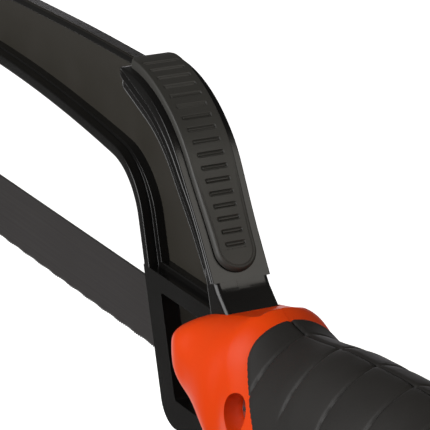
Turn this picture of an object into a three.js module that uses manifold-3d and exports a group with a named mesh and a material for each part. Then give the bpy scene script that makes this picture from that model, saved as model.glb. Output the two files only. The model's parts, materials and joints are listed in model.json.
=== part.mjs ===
// A compact hacksaw: cast frame bow, replaceable blade, screw tensioner and two-shell handle.
// Millimetres. +X runs forward along the blade, +Y is the saw's left side, +Z is up.
// Outlines are drawn from the foot of the rear post. The finished group is then moved along X, so
// that its origin is the middle of the flat underside of the heel box, in the saw's mid-plane.

import * as THREE from 'three';
import { mergeVertices } from 'three/addons/utils/BufferGeometryUtils.js';
import Module from 'manifold-3d';

const wasm = await Module();
wasm.setup();

// ---------------------------------------------------------------- driving dimensions

const GAP = 0.3;                    // clearance between pieces that touch

// Blade
const PIN_SPACING = 300;            // between the blade's two holes
const BLADE_HEIGHT = 12.7;
const BLADE_THICKNESS = 0.65;
const BLADE_END = 7;                // blade past each hole
const BLADE_HOLE_RADIUS = 2.2;
const TOOTH_LINE_Z = 9;             // tooth tips above the underside of the heel
const REAR_HOLE_X = -14;

// Frame
const FRAME_TOP_Z = 62.5;
const HEEL_HALF_WIDTH = 4.5;        // also the inner rim
const LEDGE_HALF_WIDTH = 2.6;       // the rim's inner step
const WEB_HALF_WIDTH = 1.3;
const TOP_RIM_HALF_WIDTH = 1.9;
const FLANGE_HALF_WIDTH = 5.2;      // the wide rear flange under the thumb pad
const TANG_HALF_WIDTH = 4.7;        // where the frame enters the handle
const RIM_THICKNESS = 2.3;
const LEDGE_THICKNESS = 3.2;
const TOP_RIM_THICKNESS = 1.5;
const LEAN = 0.288;                 // the rear post runs back this much for each unit down
const PAD_HALF_WIDTH = 4.4;
const LUG_HALF_WIDTH = 8;
const HEEL_MIDDLE_X = -11;

// Tensioner
const PIN_RADIUS = 1.45;
const PIN_REACH = 3.6;              // pins stick out this far to the right of the mid-plane
const SHANK_SIDE = 7;
const BUSH_SIDE = 11;
const THREAD_RADIUS = 3;
const SLACK = 0.5;                  // tensioned pins sit this far from their holes' centres
const STUD_TRAVEL = 0.9;            // the stud slides back this far before the blade is loose

// Handle
const HANDLE_REAR_X = -130;
const RUBBER_THICKNESS = 2.5;
const SCREW_RECESS_RADIUS = 3.8;
const SCREW_SEAT_Y = 6.5;
const SCREW_HOLE_RADIUS = 2.3;

const bladeMiddleZ = TOOTH_LINE_Z + BLADE_HEIGHT / 2;
const frontHoleX = REAR_HOLE_X + PIN_SPACING;
const lugRearX = frontHoleX + BLADE_END + 2;
const lugFrontX = lugRearX + 15;

// ---------------------------------------------------------------- shape helpers

const point = (x, z, r = 0) => ({ x, z, r });

// Points of a run of straight lines whose corners are rounded to each corner's radius r.
function roundedRun(corners, closed) {
  const points = [];
  const count = corners.length;
  corners.forEach((corner, i) => {
    const here = new THREE.Vector2(corner.x, corner.z);
    const isEnd = !closed && (i === 0 || i === count - 1);
    if (isEnd || corner.r === 0) {
      points.push(here);
      return;
    }
    const last = corners[(i + count - 1) % count];
    const next = corners[(i + 1) % count];
    const back = new THREE.Vector2(last.x - corner.x, last.z - corner.z).normalize();
    const ahead = new THREE.Vector2(next.x - corner.x, next.z - corner.z).normalize();
    const halfAngle = Math.acos(THREE.MathUtils.clamp(back.dot(ahead), -1, 1)) / 2;
    const bisector = back.clone().add(ahead).normalize();
    const centre = here.clone().addScaledVector(bisector, corner.r / Math.sin(halfAngle));
    const start = here.clone().addScaledVector(back, corner.r / Math.tan(halfAngle)).sub(centre);
    const turn = Math.PI - 2 * halfAngle;
    const side = Math.sign(back.cross(ahead)) || 1;
    const steps = Math.max(3, Math.ceil(turn / 0.16));
    for (let k = 0; k <= steps; k += 1) {
      const angle = -side * turn * k / steps;
      points.push(start.clone().rotateAround(new THREE.Vector2(), angle).add(centre));
    }
  });
  return points;
}

// Points moved sideways by a distance: to the left of the direction of travel when positive.
function offsetRun(points, distance) {
  return points.map((here, i) => {
    const last = points[Math.max(i - 1, 0)];
    const next = points[Math.min(i + 1, points.length - 1)];
    const along = next.clone().sub(last).normalize();
    return new THREE.Vector2(here.x - along.y * distance, here.y + along.x * distance);
  });
}

// A plate: an outline in the X-Z plane, from one Y to another.
function plate(points, lowY, highY) {
  const shape = new THREE.Shape(points);
  const geometry = new THREE.ExtrudeGeometry(shape, { depth: highY - lowY, bevelEnabled: false });
  geometry.rotateX(Math.PI / 2);
  geometry.translate(0, highY, 0);
  return geometry;
}

// A band that follows a run of points, from one sideways distance to another.
function band(points, near, far, halfWidth) {
  const outline = [...offsetRun(points, near), ...offsetRun(points, far).reverse()];
  return plate(outline, -halfWidth, halfWidth);
}

function box(x, y, z) {
  const geometry = new THREE.BoxGeometry(x[1] - x[0], y[1] - y[0], z[1] - z[0]);
  return geometry.translate((x[0] + x[1]) / 2, (y[0] + y[1]) / 2, (z[0] + z[1]) / 2);
}

// A round bar along Y.
function barY(x, z, radius, lowY, highY, sides = 24) {
  const geometry = new THREE.CylinderGeometry(radius, radius, highY - lowY, sides);
  return geometry.translate(x, (lowY + highY) / 2, z);
}

// A round bar along X.
function barX(lowX, highX, y, z, radius, sides = 24) {
  const geometry = new THREE.CylinderGeometry(radius, radius, highX - lowX, sides);
  geometry.rotateZ(-Math.PI / 2);
  return geometry.translate((lowX + highX) / 2, y, z);
}

// A closed body through a row of rounded sections, each across X.
function loft(sections, shrink = 0, sides = 28) {
  const positions = [];
  const indices = [];
  for (const section of sections) {
    const centreZ = (section.top + section.bottom) / 2;
    const halfHeight = (section.top - section.bottom) / 2 - shrink;
    const halfWidth = section.halfWidth - shrink;
    for (let k = 0; k < sides; k += 1) {
      const angle = 2 * Math.PI * (k + 0.5) / sides;
      const c = Math.cos(angle);
      const s = Math.sin(angle);
      const squareness = 2 / section.power;
      const y = halfWidth * Math.sign(c) * Math.abs(c) ** squareness;
      const z = halfHeight * Math.sign(s) * Math.abs(s) ** squareness;
      positions.push(section.x, y, centreZ + z);
    }
  }
  const rings = sections.length;
  for (let ring = 0; ring < rings - 1; ring += 1) {
    for (let k = 0; k < sides; k += 1) {
      const a = ring * sides + k;
      const b = ring * sides + (k + 1) % sides;
      indices.push(a, a + sides, b, b, a + sides, b + sides);
    }
  }
  for (let k = 1; k < sides - 1; k += 1) {
    const end = (rings - 1) * sides;
    indices.push(0, k, k + 1);
    indices.push(end, end + k + 1, end + k);
  }
  const geometry = new THREE.BufferGeometry();
  geometry.setAttribute('position', new THREE.Float32BufferAttribute(positions, 3));
  geometry.setIndex(indices);
  return geometry;
}

// ---------------------------------------------------------------- joining and cutting

function solid(geometry) {
  const bare = geometry.clone();
  bare.deleteAttribute('normal');
  bare.deleteAttribute('uv');
  const merged = mergeVertices(bare, 1e-4);
  const vertProperties = Float32Array.from(merged.attributes.position.array);
  const triVerts = Uint32Array.from(merged.index.array);
  return new wasm.Manifold(new wasm.Mesh({ numProp: 3, vertProperties, triVerts }));
}

const join = (...geometries) => geometries.map(solid).reduce((sum, next) => sum.add(next));

function toGeometry(body) {
  const mesh = body.getMesh();
  const geometry = new THREE.BufferGeometry();
  geometry.setAttribute('position', new THREE.Float32BufferAttribute(mesh.vertProperties, 3));
  geometry.setIndex(Array.from(mesh.triVerts));
  geometry.computeVertexNormals();
  return geometry;
}

// ---------------------------------------------------------------- materials

const paint = (color, roughness, metalness) => () => (
  new THREE.MeshStandardMaterial({ color, roughness, metalness })
);
const blackPaint = paint(0x2b2826, 0.35, 0.0);
const bladeSteel = paint(0x3a3535, 0.5, 0.6);
const orangePlastic = paint(0xe0451c, 0.4, 0.0);
const blackRubber = paint(0x2a2725, 0.7, 0.0);
const platedSteel = paint(0xb9bcc0, 0.3, 0.9);

const hacksaw = new THREE.Group();

function addPiece(name, shape, material) {
  const geometry = shape.isBufferGeometry ? shape : toGeometry(shape);
  const mesh = new THREE.Mesh(geometry, material());
  mesh.name = name;
  hacksaw.add(mesh);
}

// ---------------------------------------------------------------- the frame's side outline

const postX = (z) => 5.2 + LEAN * z;              // inner face of the rear post
const throatZ = 43;                               // underside of the bow at the rear post
const crossbarZ = 27.3;                           // top of the bar that closes the heel box
const flangeFoot = point(-15.8, 32.9);            // lower end of the wide rear flange
const rearTop = point(4.1, FRAME_TOP_Z, 28.3);
const topBendX = 45;                             // the top starts to fall towards the front
const frontTop = point(lugFrontX - 8, 55.9, 26);
const rearInside = point(postX(throatZ), throatZ, 12.3);
const frontInside = point(lugRearX - 7.5, 45, 12);

const innerRun = roundedRun([
  point(postX(0), 0),
  rearInside,
  point(60, 48.5, 456),
  frontInside,
  point(lugRearX - 1, 23.5),
]);

const outerRun = roundedRun([
  flangeFoot,
  rearTop,
  point(topBendX, FRAME_TOP_Z, 800),
  frontTop,
  point(lugFrontX, 26),
]);

// The inner edge of the wide rear flange, from its rounded front end to its foot.
const flangeOutline = roundedRun([
  flangeFoot,
  rearTop,
  point(20.2, FRAME_TOP_Z, 1),
  point(20.2, 58.2, 2.4),
  point(4.2, 52.7, 25),
  point(-12.4, 32.2),
], true);

// The same at the front corner, from its rear end down to the lug.
const noseRearX = lugFrontX - 50;
const topSlope = (frontTop.z - FRAME_TOP_Z) / (frontTop.x - topBendX);
const noseTopZ = FRAME_TOP_Z + topSlope * (noseRearX - topBendX);
const noseOutline = roundedRun([
  point(lugFrontX, 26),
  frontTop,
  point(noseRearX, noseTopZ, 1),
  point(noseRearX, noseTopZ - 4, 2.4),
  point(frontTop.x - 4.5, frontTop.z - 4, 22),
  point(lugFrontX - 4, 26),
], true);

// The web: everything between the two runs, with the rear panel down to the crossbar.
const webOutline = [
  ...outerRun,
  ...innerRun.slice().reverse(),
  new THREE.Vector2(-14, 5),
  new THREE.Vector2(-18.5, 29.5),
];

// ---------------------------------------------------------------- pieces of the frame

function makeTang() {
  const neck = plate(roundedRun([
    point(-11, 35),
    point(-14, 35),
    point(-16.3, 32.2),
    point(-26.5, 23.4, 4),
    point(-34, 23),
    point(-34, 5),
    point(-20, 5),
  ], true), -TANG_HALF_WIDTH, TANG_HALF_WIDTH);
  const bar = plate(roundedRun([
    point(-33, 23),
    point(-78, 23, 3),
    point(-78, 7, 3),
    point(-33, 7),
  ], true), -LEDGE_HALF_WIDTH, LEDGE_HALF_WIDTH);
  return join(neck, bar);
}

function makeHeelBox() {
  const wall = 5.9;
  const floor = 5.5;
  const shell = plate(roundedRun([
    point(postX(0), 0, 5.5),
    point(postX(crossbarZ), crossbarZ),
    point(-19.5, crossbarZ),
    point(-26, 23),
    point(-26, 0, 3),
  ], true), -HEEL_HALF_WIDTH, HEEL_HALF_WIDTH);
  const pocketTop = crossbarZ - 3.2;
  const pocket = plate(roundedRun([
    point(postX(floor) - wall, floor),
    point(postX(pocketTop) - wall, pocketTop),
    point(-10, pocketTop),
    point(-10, floor),
  ], true), 2.5, HEEL_HALF_WIDTH + 1);
  return solid(shell).subtract(solid(pocket));
}

function makeLug() {
  const block = plate(roundedRun([
    point(lugRearX, 5, 3),
    point(lugFrontX, 5, 3),
    point(lugFrontX, 27, 2),
    point(lugRearX, 25, 2),
  ], true), -LUG_HALF_WIDTH, LUG_HALF_WIDTH);
  return solid(block);
}

function makeFrameBow() {
  const channelTop = TOOTH_LINE_Z + BLADE_HEIGHT + 1.5;
  const channelBottom = TOOTH_LINE_Z - 1.5;
  const channelFloorY = BLADE_THICKNESS / 2 + GAP;
  const channel = box([-23, 30], [-20, channelFloorY], [channelBottom, channelTop]);
  const squareHole = BUSH_SIDE / 2 + GAP;
  const bushHole = box(
    [lugRearX - 5, lugFrontX + 5],
    [-squareHole, squareHole],
    [bladeMiddleZ - squareHole, bladeMiddleZ + squareHole],
  );
  const pinX = REAR_HOLE_X - SLACK;
  const pinHole = barY(pinX, bladeMiddleZ, PIN_RADIUS + GAP, -1, HEEL_HALF_WIDTH - 1);
  const crossbar = box(
    [-16, postX(crossbarZ)],
    [-LEDGE_HALF_WIDTH, LEDGE_HALF_WIDTH],
    [crossbarZ - 1, crossbarZ + 1.1],
  );
  const innerRim = solid(band(innerRun, 0, RIM_THICKNESS, HEEL_HALF_WIDTH));
  const ledge = solid(band(innerRun, 0, LEDGE_THICKNESS, LEDGE_HALF_WIDTH));
  const web = solid(plate(webOutline, -WEB_HALF_WIDTH, WEB_HALF_WIDTH));
  const topRim = solid(band(outerRun, -TOP_RIM_THICKNESS, 0, TOP_RIM_HALF_WIDTH));
  const flanges = [flangeOutline, noseOutline].map((outline) => (
    plate(outline, -FLANGE_HALF_WIDTH, FLANGE_HALF_WIDTH)
  ));
  let frame = innerRim.add(ledge).add(web).add(topRim).add(join(...flanges));
  frame = frame.add(makeHeelBox()).add(solid(crossbar)).add(makeTang()).add(makeLug());
  for (const screw of handleScrews) {
    frame = frame.subtract(solid(barY(screw.x, screw.z, SCREW_HOLE_RADIUS, -20, 20)));
  }
  return frame.subtract(solid(channel)).subtract(solid(bushHole)).subtract(solid(pinHole));
}

// A rubber pad that follows the outside of the bow.
function makePad(startX, endX, lowZ) {
  const height = 1.5;
  const strip = band(outerRun, GAP, height, PAD_HALF_WIDTH);
  const keep = box([startX, endX], [-20, 20], [lowZ, 80]);
  return solid(strip).intersect(solid(keep));
}

// ---------------------------------------------------------------- blade and its fittings

function makeBlade() {
  const strip = box(
    [REAR_HOLE_X - BLADE_END, frontHoleX + BLADE_END],
    [-BLADE_THICKNESS / 2, BLADE_THICKNESS / 2],
    [TOOTH_LINE_Z, TOOTH_LINE_Z + BLADE_HEIGHT],
  );
  const holes = [REAR_HOLE_X, frontHoleX].map((x) => barY(x, bladeMiddleZ, BLADE_HOLE_RADIUS, -2, 2));
  return solid(strip).subtract(join(...holes));
}

const makeBladePin = (x, rootY) => barY(x, bladeMiddleZ, PIN_RADIUS, -PIN_REACH, rootY, 20);

const tongueLeftY = SHANK_SIDE / 2;
const tongueRightY = BLADE_THICKNESS / 2 + GAP;
const threadStartX = lugFrontX - 1;
const studEndX = lugFrontX + 18;
const clipX = studEndX - 3;

function makeTensionStud() {
  const half = SHANK_SIDE / 2;
  const shankStartX = frontHoleX + BLADE_END + STUD_TRAVEL + GAP;
  const tongueHalfHeight = 5;
  const tongue = plate(roundedRun([
    point(frontHoleX - BLADE_END, bladeMiddleZ - tongueHalfHeight, 3),
    point(shankStartX + 0.4, bladeMiddleZ - tongueHalfHeight, 1),
    point(shankStartX + 0.4, bladeMiddleZ + tongueHalfHeight, 1),
    point(frontHoleX - BLADE_END, bladeMiddleZ + tongueHalfHeight, 3),
  ], true), tongueRightY, tongueLeftY);
  const shank = box(
    [shankStartX, threadStartX],
    [-half, half],
    [bladeMiddleZ - half, bladeMiddleZ + half],
  );
  const thread = barX(threadStartX - 1, studEndX, 0, bladeMiddleZ, THREAD_RADIUS);
  const groove = barX(clipX - 0.6, clipX + 0.6, 0, bladeMiddleZ, THREAD_RADIUS + 1);
  const core = barX(clipX - 1, clipX + 1, 0, bladeMiddleZ, THREAD_RADIUS - 0.8);
  const clipGroove = solid(groove).subtract(solid(core));
  const pinHole = barY(frontHoleX + SLACK, bladeMiddleZ, PIN_RADIUS + GAP, -5, tongueLeftY - 0.6);
  return join(tongue, shank, thread).subtract(clipGroove).subtract(solid(pinHole));
}

function makeBush() {
  const outer = BUSH_SIDE / 2;
  const inner = SHANK_SIDE / 2 + GAP;
  const sleeve = box(
    [lugRearX + 0.5, lugFrontX - 0.2],
    [-outer, outer],
    [bladeMiddleZ - outer, bladeMiddleZ + outer],
  );
  const bore = box(
    [lugRearX - 5, lugFrontX + 5],
    [-inner, inner],
    [bladeMiddleZ - inner, bladeMiddleZ + inner],
  );
  return solid(sleeve).subtract(solid(bore));
}

const ring = (lowX, highX, outer, inner) => (
  solid(barX(lowX, highX, 0, bladeMiddleZ, outer))
    .subtract(solid(barX(lowX - 1, highX + 1, 0, bladeMiddleZ, inner)))
);

function makeWingNut() {
  const seatX = lugFrontX + 2.2;
  const length = 10;
  const hub = new THREE.LatheGeometry([
    new THREE.Vector2(0, 0),
    new THREE.Vector2(6.5, 0),
    new THREE.Vector2(6.5, 3),
    new THREE.Vector2(5, length),
    new THREE.Vector2(0, length),
  ], 24);
  hub.rotateZ(-Math.PI / 2);
  hub.translate(seatX, 0, bladeMiddleZ);
  const wing = plate(roundedRun([
    point(seatX + 1.5, bladeMiddleZ + 3),
    point(seatX + 3, bladeMiddleZ + 15, 3),
    point(seatX + 13, bladeMiddleZ + 15, 3),
    point(seatX + 9.5, bladeMiddleZ + 3.5, 3),
    point(seatX + 9, bladeMiddleZ - 3.5, 3),
    point(seatX + 13, bladeMiddleZ - 15, 3),
    point(seatX + 3, bladeMiddleZ - 15, 3),
    point(seatX + 1.5, bladeMiddleZ - 3),
  ], true), -1.4, 1.4);
  const bore = barX(seatX - 1, seatX + 20, 0, bladeMiddleZ, THREAD_RADIUS + GAP);
  return join(hub, wing).subtract(solid(bore));
}

// ---------------------------------------------------------------- handle

// Sections from the nose back to the butt.
const handleSections = [
  { x: -7, top: 21.5, bottom: 15.5, halfWidth: 7.5, power: 2.2 },
  { x: -8.5, top: 23.6, bottom: 12.5, halfWidth: 10, power: 2.4 },
  { x: -12, top: 26.2, bottom: 10, halfWidth: 11.8, power: 2.5 },
  { x: -18, top: 29, bottom: 6, halfWidth: 12.8, power: 2.7 },
  { x: -26, top: 30.9, bottom: 0.5, halfWidth: 13.2, power: 2.7 },
  { x: -30, top: 31.7, bottom: -2, halfWidth: 13.2, power: 2.6 },
  { x: -35, top: 31, bottom: -3.5, halfWidth: 13.2, power: 2.4 },
  { x: -55, top: 32.9, bottom: -3.5, halfWidth: 13.7, power: 2.4 },
  { x: -80, top: 34.2, bottom: -3.5, halfWidth: 14.6, power: 2.3 },
  { x: -103, top: 33.2, bottom: -5, halfWidth: 14, power: 2.3 },
  { x: -120, top: 31, bottom: -7, halfWidth: 13, power: 2.3 },
  { x: -127, top: 28, bottom: -5.5, halfWidth: 11.5, power: 2.3 },
  { x: HANDLE_REAR_X, top: 24, bottom: -1, halfWidth: 8, power: 2.2 },
];

const handleScrews = [
  { name: 'handle_screw_front', x: -38, z: 17 },
  { name: 'handle_screw_middle', x: -68, z: 15 },
  { name: 'handle_screw_rear', x: -118, z: 12 },
];

// Side outline of the rubber, with its front edge swept back towards the bottom.
const rubberOutline = (grow) => roundedRun([
  point(-33.2 + grow, 45),
  point(-33.4 + grow, 29.5, 6),
  point(-46.8 + grow, 18.3, 10),
  point(-58 + grow, -20),
  point(-112 - grow, -20),
  point(-108 - grow, 45),
], true);

function screwCuts() {
  const cuts = handleScrews.map(({ x, z }) => join(
    barY(x, z, SCREW_RECESS_RADIUS, SCREW_SEAT_Y, 20),
    barY(x, z, SCREW_HOLE_RADIUS, -9, SCREW_SEAT_Y + 1),
  ));
  return cuts.reduce((sum, next) => sum.add(next));
}

// The hollow that takes the heel box and the tang, open towards the front.
function tangCavity() {
  const neckHalf = TANG_HALF_WIDTH + GAP;
  const neck = plate([
    new THREE.Vector2(10, 50),
    new THREE.Vector2(-14.4, 50),
    new THREE.Vector2(-14.4, 35.2),
    new THREE.Vector2(-16.7, 32.6),
    new THREE.Vector2(-27, 23.7),
    new THREE.Vector2(-34.4, 23.4),
    new THREE.Vector2(-34.4, 4.7),
    new THREE.Vector2(-26.4, 4.7),
    new THREE.Vector2(-26.4, -12),
    new THREE.Vector2(10, -12),
  ], -neckHalf, neckHalf);
  const hollow = plate(roundedRun([
    point(-33, 26),
    point(-100, 26, 6),
    point(-100, 3, 6),
    point(-33, 3),
  ], true), -6, 6);
  return join(neck, hollow);
}

function makeHandle(side) {
  const half = box([-200, 50], side > 0 ? [GAP / 2, 40] : [-40, -GAP / 2], [-50, 80]);
  const outside = solid(loft(handleSections));
  const cuts = screwCuts().add(tangCavity());
  const core = solid(loft(handleSections, RUBBER_THICKNESS + GAP));
  let shell = outside.subtract(solid(plate(rubberOutline(GAP), -30, 30))).add(core);
  shell = shell.subtract(cuts).intersect(solid(half));
  let grip = outside.intersect(solid(plate(rubberOutline(0), -30, 30)));
  grip = grip.subtract(solid(loft(handleSections, RUBBER_THICKNESS)));
  grip = grip.subtract(cuts).intersect(solid(half));
  if (side < 0) {
    const bladeWindow = box([-24, 10], [-30, 0], [TOOTH_LINE_Z - 3, TOOTH_LINE_Z + BLADE_HEIGHT + 3]);
    shell = shell.subtract(solid(bladeWindow));
  }
  return { shell, grip };
}

function makeHandleScrew({ x, z }) {
  const head = barY(x, z, 3.3, SCREW_SEAT_Y + GAP, SCREW_SEAT_Y + 2.4);
  const shank = barY(x, z, 1.8, -8.5, SCREW_SEAT_Y + 1, 16);
  const slotLength = box([x - 2, x + 2], [SCREW_SEAT_Y + 1.2, 20], [z - 0.4, z + 0.4]);
  const slotAcross = box([x - 0.4, x + 0.4], [SCREW_SEAT_Y + 1.2, 20], [z - 2, z + 2]);
  return join(head, shank).subtract(join(slotLength, slotAcross));
}

// ---------------------------------------------------------------- assembly

addPiece('frame_bow', makeFrameBow(), blackPaint);
addPiece('thumb_pad', makePad(-30, 19, 34.5), blackRubber);
addPiece('nose_pad', makePad(noseRearX + 4, 400, 33), blackRubber);

const handleLeft = makeHandle(1);
const handleRight = makeHandle(-1);
addPiece('handle_left_shell', handleLeft.shell, orangePlastic);
addPiece('handle_right_shell', handleRight.shell, orangePlastic);
addPiece('grip_left', handleLeft.grip, blackRubber);
addPiece('grip_right', handleRight.grip, blackRubber);
for (const screw of handleScrews) {
  addPiece(screw.name, makeHandleScrew(screw), platedSteel);
}

addPiece('blade', makeBlade(), bladeSteel);
addPiece('rear_blade_pin', makeBladePin(REAR_HOLE_X - SLACK, HEEL_HALF_WIDTH - 1.3), platedSteel);
addPiece('front_blade_pin', makeBladePin(frontHoleX + SLACK, tongueLeftY - 0.9), platedSteel);
addPiece('tension_stud', makeTensionStud(), platedSteel);
addPiece('stud_bush', makeBush(), platedSteel);
addPiece('thrust_washer', ring(lugFrontX + 0.3, lugFrontX + 1.9, 7.5, THREAD_RADIUS + GAP), platedSteel);
addPiece('wing_nut', makeWingNut(), platedSteel);
addPiece('stud_stop_clip', ring(clipX - 0.3, clipX + 0.3, 4.6, THREAD_RADIUS - 0.4), platedSteel);

hacksaw.position.x = -HEEL_MIDDLE_X;

export default hacksaw;
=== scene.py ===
"""The looks of a compact hacksaw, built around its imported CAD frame.

Outlines are in millimetres, drawn in the saw's mid-plane from the foot of its rear post, with X
forward along the blade and Z up. ORIGIN_X carries them to the frame that the CAD nodes are in.
"""

import json
import math

import bmesh
import bpy
import numpy as np
from mathutils import Matrix, Vector

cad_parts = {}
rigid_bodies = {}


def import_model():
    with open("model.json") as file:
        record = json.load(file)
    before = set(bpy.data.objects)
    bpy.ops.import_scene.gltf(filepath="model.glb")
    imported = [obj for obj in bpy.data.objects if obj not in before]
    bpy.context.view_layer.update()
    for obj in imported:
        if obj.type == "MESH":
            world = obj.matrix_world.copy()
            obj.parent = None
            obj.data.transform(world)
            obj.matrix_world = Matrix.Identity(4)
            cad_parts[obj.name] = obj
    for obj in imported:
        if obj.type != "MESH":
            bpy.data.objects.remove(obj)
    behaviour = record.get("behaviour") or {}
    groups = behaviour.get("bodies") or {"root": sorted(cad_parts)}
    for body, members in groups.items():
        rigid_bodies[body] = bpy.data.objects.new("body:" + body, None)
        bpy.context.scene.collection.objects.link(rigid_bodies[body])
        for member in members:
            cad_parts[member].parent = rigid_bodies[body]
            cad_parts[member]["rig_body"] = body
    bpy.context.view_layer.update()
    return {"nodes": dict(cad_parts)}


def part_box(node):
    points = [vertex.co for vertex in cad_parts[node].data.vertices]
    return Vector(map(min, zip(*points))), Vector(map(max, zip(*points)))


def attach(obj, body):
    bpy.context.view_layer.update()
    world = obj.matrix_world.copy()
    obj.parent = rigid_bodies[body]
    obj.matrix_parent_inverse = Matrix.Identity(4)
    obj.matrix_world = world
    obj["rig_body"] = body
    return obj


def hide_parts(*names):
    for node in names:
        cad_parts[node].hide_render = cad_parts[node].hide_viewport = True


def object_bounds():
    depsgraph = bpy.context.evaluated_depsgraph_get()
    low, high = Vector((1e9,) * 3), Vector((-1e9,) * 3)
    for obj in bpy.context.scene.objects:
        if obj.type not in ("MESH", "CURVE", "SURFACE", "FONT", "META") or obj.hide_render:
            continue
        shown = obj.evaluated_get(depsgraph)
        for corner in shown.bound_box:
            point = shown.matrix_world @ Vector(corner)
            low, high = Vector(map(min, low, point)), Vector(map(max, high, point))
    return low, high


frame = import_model()

# ---------------------------------------------------------------- driving dimensions

MM = 0.001
BLADE_END_X = -21                       # rear end of the blade, in the outlines' own frame


def mm_box(node):
    """Lowest and highest corners of a CAD node, in the outlines' millimetres."""
    low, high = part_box(node)
    shift = Vector((ORIGIN_X, 0, 0))
    return low / MM - shift, high / MM - shift


ORIGIN_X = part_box("blade")[0].x / MM - BLADE_END_X
blade_low, blade_high = mm_box("blade")
bow_high = mm_box("frame_bow")[1]
stud_low, stud_high = mm_box("tension_stud")
nut_low = mm_box("wing_nut")[0]
washer_low, washer_high = mm_box("thrust_washer")
bush_low, bush_high = mm_box("stud_bush")
clip_low, clip_high = mm_box("stud_stop_clip")

TOP_Z = bow_high.z                      # top of the bow
BLADE_MIDDLE_Z = (blade_low.z + blade_high.z) / 2
BLADE_END = 7                           # blade past each of its holes
BLADE_HOLE_RADIUS = 2.2
REAR_HOLE_X = blade_low.x + BLADE_END
FRONT_HOLE_X = blade_high.x - BLADE_END
PIN_SLACK = 0.5                         # the tensioned pins sit off their holes' centres
LUG_REAR_X = FRONT_HOLE_X + 9
LUG_FRONT_X = bow_high.x

LEAN = 0.288                            # the rear post runs back this much for each unit down
HEEL_HALF_WIDTH = 4.6
LEDGE_HALF_WIDTH = 2.7
WEB_HALF_WIDTH = 1.05
TOP_HALF_WIDTH = 1.4
FLANGE_HALF_WIDTH = 5.5
TANG_HALF_WIDTH = 5.2
RIM_HEIGHT = 2.15
CROSSBAR_Z = 27.3


def post_x(z):
    """Inner face of the rear post."""
    return 5.2 + LEAN * z


# ---------------------------------------------------------------- outlines

LONGEST_CHORD = 1.5                     # on a rounded corner


def rounded_run(corners, closed=False, step=0.12, steps=None):
    """Points along straight lines whose corners, each (x, z, radius), are rounded. Chords turn by about
    a step in radians, or there are as many on each corner as steps says."""
    points = []
    count = len(corners)
    for i, (x, z, radius) in enumerate(corners):
        here = Vector((x, z))
        if radius == 0 or (not closed and i in (0, count - 1)):
            points.append(here)
            continue
        back = (Vector(corners[i - 1][:2]) - here).normalized()
        ahead = (Vector(corners[(i + 1) % count][:2]) - here).normalized()
        half = math.acos(max(-1.0, min(1.0, back.dot(ahead)))) / 2
        centre = here + (back + ahead).normalized() * (radius / math.sin(half))
        start = here + back * (radius / math.tan(half)) - centre
        turn = math.pi - 2 * half
        sense = -1 if back.cross(ahead) > 0 else 1
        chords = steps or max(2, math.ceil(turn / step), math.ceil(turn * radius / LONGEST_CHORD))
        for k in range(chords + 1):
            angle = sense * turn * k / chords
            c, s = math.cos(angle), math.sin(angle)
            points.append(centre + Vector((start.x * c - start.y * s, start.x * s + start.y * c)))
    return points


def left_normals(points):
    """Unit normals to the left of the direction of travel."""
    normals = []
    for i in range(len(points)):
        along = points[min(i + 1, len(points) - 1)] - points[max(i - 1, 0)]
        normals.append(Vector((-along.y, along.x)).normalized())
    return normals


def run_length(points):
    return sum((b - a).length for a, b in zip(points, points[1:]))


def resample(points, fractions):
    """Points at fractions of the length of a run."""
    xz = np.array([tuple(p) for p in points])
    s = np.concatenate([[0], np.cumsum(np.linalg.norm(np.diff(xz, axis=0), axis=1))])
    return [Vector((np.interp(v, s, xz[:, 0]), np.interp(v, s, xz[:, 1]))) for v in fractions * s[-1]]


def step_up(value, start, end):
    """Smoothly from 0 at start to 1 at end."""
    t = np.clip((value - start) / (end - start), 0, 1)
    return t * t * (3 - 2 * t)


def mirrored(half_profile):
    """A closed profile of (depth, y, radius) corners, from its half on the positive side."""
    return half_profile + [(d, -y, r) for d, y, r in reversed(half_profile)]


inner_run = rounded_run([
    (post_x(7), 7, 0),
    (post_x(43), 43, 12.3),
    (60, 48.5, 456),
    (LUG_REAR_X - 7.5, 45, 12),
    (LUG_REAR_X - 1, 23.5, 0),
], step=0.04)

FLANGE_FOOT = (-15.8, 32.9)
REAR_TOP = (4.1, TOP_Z, 28.3)
FRONT_TOP = (LUG_FRONT_X - 8, 55.9, 26)
TOP_BEND_X = 45
FLANGE_FRONT_X = 20.6
PAD_FRONT_X = 19
NOSE_REAR_X = LUG_FRONT_X - 50

outer_run = rounded_run([
    (*FLANGE_FOOT, 0),
    REAR_TOP,
    (TOP_BEND_X, TOP_Z, 800),
    FRONT_TOP,
    (LUG_FRONT_X, 26, 0),
], step=0.025)


# ---------------------------------------------------------------- mesh tools

# In metres. At the saw's front end single precision resolves about 3e-8. A smaller distance than that
# leaves coincident points apart, and booleans on such a body fail with only a warning.
MERGE_DISTANCE = 1e-7


def make_object(name, vertices, faces):
    """A mesh object from points in the outlines' millimetres, with its faces pointing out."""
    mesh = bpy.data.meshes.new(name)
    mesh.from_pydata([((x + ORIGIN_X) * MM, y * MM, z * MM) for x, y, z in vertices], [], faces)
    work = bmesh.new()
    work.from_mesh(mesh)
    bmesh.ops.remove_doubles(work, verts=work.verts, dist=MERGE_DISTANCE)
    loose = [edge for edge in work.edges if not edge.link_faces]
    bmesh.ops.delete(work, geom=loose, context="EDGES")
    bmesh.ops.recalc_face_normals(work, faces=work.faces)
    work.to_mesh(mesh)
    work.free()
    obj = bpy.data.objects.new(name, mesh)
    bpy.context.scene.collection.objects.link(obj)
    return obj


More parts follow.
